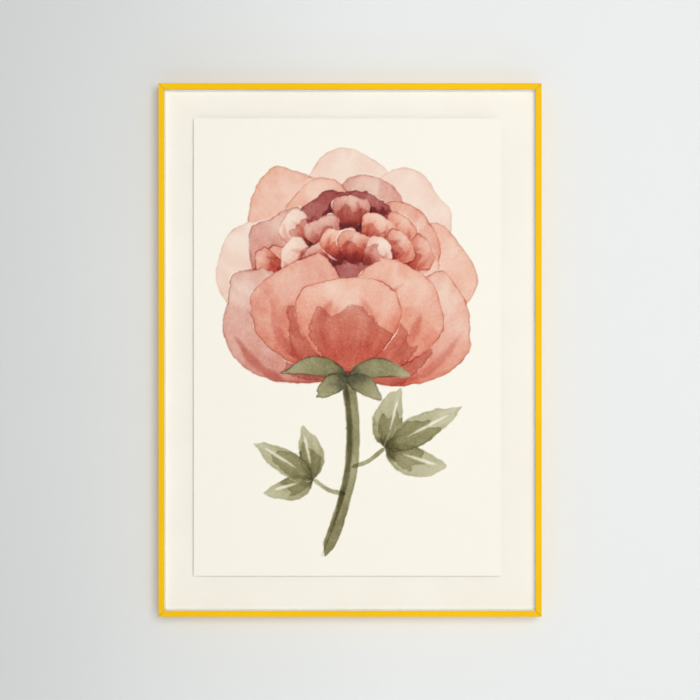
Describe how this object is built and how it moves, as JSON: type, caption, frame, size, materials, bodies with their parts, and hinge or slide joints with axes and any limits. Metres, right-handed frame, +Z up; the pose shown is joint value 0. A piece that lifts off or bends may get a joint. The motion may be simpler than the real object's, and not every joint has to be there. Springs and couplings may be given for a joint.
{
  "type": "framed art print",
  "caption": "Slim metal picture frame, portrait, with a float-mounted flower print behind glass on a cream board, and keyhole hangers behind.",
  "frame": {"origin": "on the wall plane, midway between the two wall screws, level with their shanks", "axes": "+Z up the picture, +X to the viewer's right, +Y into the wall, so the picture faces -Y"},
  "size_m": [0.51, 0.0313, 0.71],
  "materials": {
    "yellow_coating": "satin",
    "clear_glass": "gloss",
    "white_plastic": "matte",
    "print_paper": "matte",
    "foam_board": "matte",
    "cream_board": "matte",
    "hardboard": "matte",
    "spring_steel": "satin",
    "zinc_steel": "satin",
    "black_rubber": "matte"
  },
  "bodies": {
    "root": {"rail_top": "yellow_coating", "rail_right": "yellow_coating", "rail_bottom": "yellow_coating", "rail_left": "yellow_coating", "glazing": "clear_glass", "spacer_top": "white_plastic", "spacer_right": "white_plastic", "spacer_bottom": "white_plastic", "spacer_left": "white_plastic", "print_sheet": "print_paper", "riser_board": "foam_board", "mount_board": "cream_board", "hardboard_back": "hardboard", "spring_top_1": "spring_steel", "spring_top_2": "spring_steel", "spring_right_1": "spring_steel", "spring_right_2": "spring_steel", "spring_right_3": "spring_steel", "spring_bottom_1": "spring_steel", "spring_bottom_2": "spring_steel", "spring_left_1": "spring_steel", "spring_left_2": "spring_steel", "spring_left_3": "spring_steel", "plain_angle_top_left": "zinc_steel", "threaded_angle_top_left": "zinc_steel", "corner_screw_top_left_a": "spring_steel", "corner_screw_top_left_b": "spring_steel", "plain_angle_top_right": "zinc_steel", "threaded_angle_top_right": "zinc_steel", "corner_screw_top_right_a": "spring_steel", "corner_screw_top_right_b": "spring_steel", "plain_angle_bottom_right": "zinc_steel", "threaded_angle_bottom_right": "zinc_steel", "corner_screw_bottom_right_a": "spring_steel", "corner_screw_bottom_right_b": "spring_steel", "plain_angle_bottom_left": "zinc_steel", "threaded_angle_bottom_left": "zinc_steel", "corner_screw_bottom_left_a": "spring_steel", "corner_screw_bottom_left_b": "spring_steel", "hanger_left": "zinc_steel", "hanger_screw_left": "spring_steel", "hanger_right": "zinc_steel", "hanger_screw_right": "spring_steel", "bumper_top_left": "black_rubber", "bumper_top_right": "black_rubber", "bumper_bottom_right": "black_rubber", "bumper_bottom_left": "black_rubber"}
  },
  "joints": []
}
